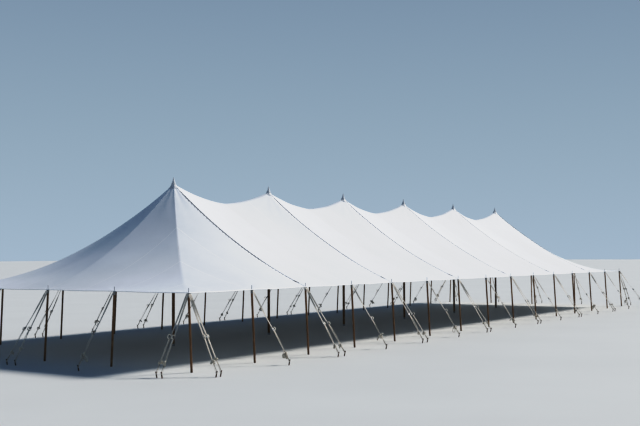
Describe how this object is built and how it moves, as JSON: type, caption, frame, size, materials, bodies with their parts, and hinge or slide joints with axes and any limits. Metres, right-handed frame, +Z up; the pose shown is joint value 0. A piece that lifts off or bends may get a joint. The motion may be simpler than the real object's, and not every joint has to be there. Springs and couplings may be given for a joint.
{
  "type": "pole marquee tent, 1:2 scale model",
  "caption": "Open-sided pole marquee at half scale: white roof sections that sweep up to a row of capped peaks, on wooden poles, held by webbing guys and ground stakes.",
  "frame": {"origin": "on the ground, under the middle of the roof", "axes": "+X along the ridge, +Y across the tent from its near side to its far side, +Z up"},
  "size_m": [22.8484, 7.6058, 3.2346],
  "materials": {
    "roof_vinyl": "satin coated white vinyl",
    "cap_vinyl": "satin coated grey-white vinyl",
    "pole_wood": "brown stained wood",
    "guy_webbing": "woven beige polyester webbing",
    "steel": "galvanised steel of pins, rings, ratchets and stakes"
  },
  "bodies": {
    "root": {"roof_end_left": "roof_vinyl", "roof_middle_1": "roof_vinyl", "roof_middle_2": "roof_vinyl", "roof_middle_3": "roof_vinyl", "roof_middle_4": "roof_vinyl", "roof_middle_5": "roof_vinyl", "roof_end_right": "roof_vinyl", "peak_cap_1": "cap_vinyl", "peak_cap_2": "cap_vinyl", "peak_cap_3": "cap_vinyl", "peak_cap_4": "cap_vinyl", "peak_cap_5": "cap_vinyl", "peak_cap_6": "cap_vinyl", "centre_pole_1": "pole_wood", "centre_pole_2": "pole_wood", "centre_pole_3": "pole_wood", "centre_pole_4": "pole_wood", "centre_pole_5": "pole_wood", "centre_pole_6": "pole_wood", "guyed_pole_near_01": "pole_wood", "guyed_pole_near_02": "pole_wood", "guyed_pole_near_03": "pole_wood", "guyed_pole_near_04": "pole_wood", "guyed_pole_near_05": "pole_wood", "guyed_pole_near_06": "pole_wood", "guyed_pole_near_07": "pole_wood", "guyed_pole_near_08": "pole_wood", "guyed_pole_near_09": "pole_wood", "guyed_pole_near_10": "pole_wood", "guyed_pole_near_11": "pole_wood", "guyed_pole_near_12": "pole_wood", "guyed_pole_near_13": "pole_wood", "guyed_pole_near_14": "pole_wood", "guyed_pole_near_15": "pole_wood", "guyed_pole_far_01": "pole_wood", "guyed_pole_far_02": "pole_wood", "guyed_pole_far_03": "pole_wood", "guyed_pole_far_04": "pole_wood", "guyed_pole_far_05": "pole_wood", "guyed_pole_far_06": "pole_wood", "guyed_pole_far_07": "pole_wood", "guyed_pole_far_08": "pole_wood", "guyed_pole_far_09": "pole_wood", "guyed_pole_far_10": "pole_wood", "guyed_pole_far_11": "pole_wood", "guyed_pole_far_12": "pole_wood", "guyed_pole_far_13": "pole_wood", "guyed_pole_far_14": "pole_wood", "guyed_pole_far_15": "pole_wood", "guyed_pole_left_1": "pole_wood", "guyed_pole_left_2": "pole_wood", "guyed_pole_left_3": "pole_wood", "guyed_pole_right_1": "pole_wood", "guyed_pole_right_2": "pole_wood", "guyed_pole_right_3": "pole_wood"}
  },
  "joints": []
}
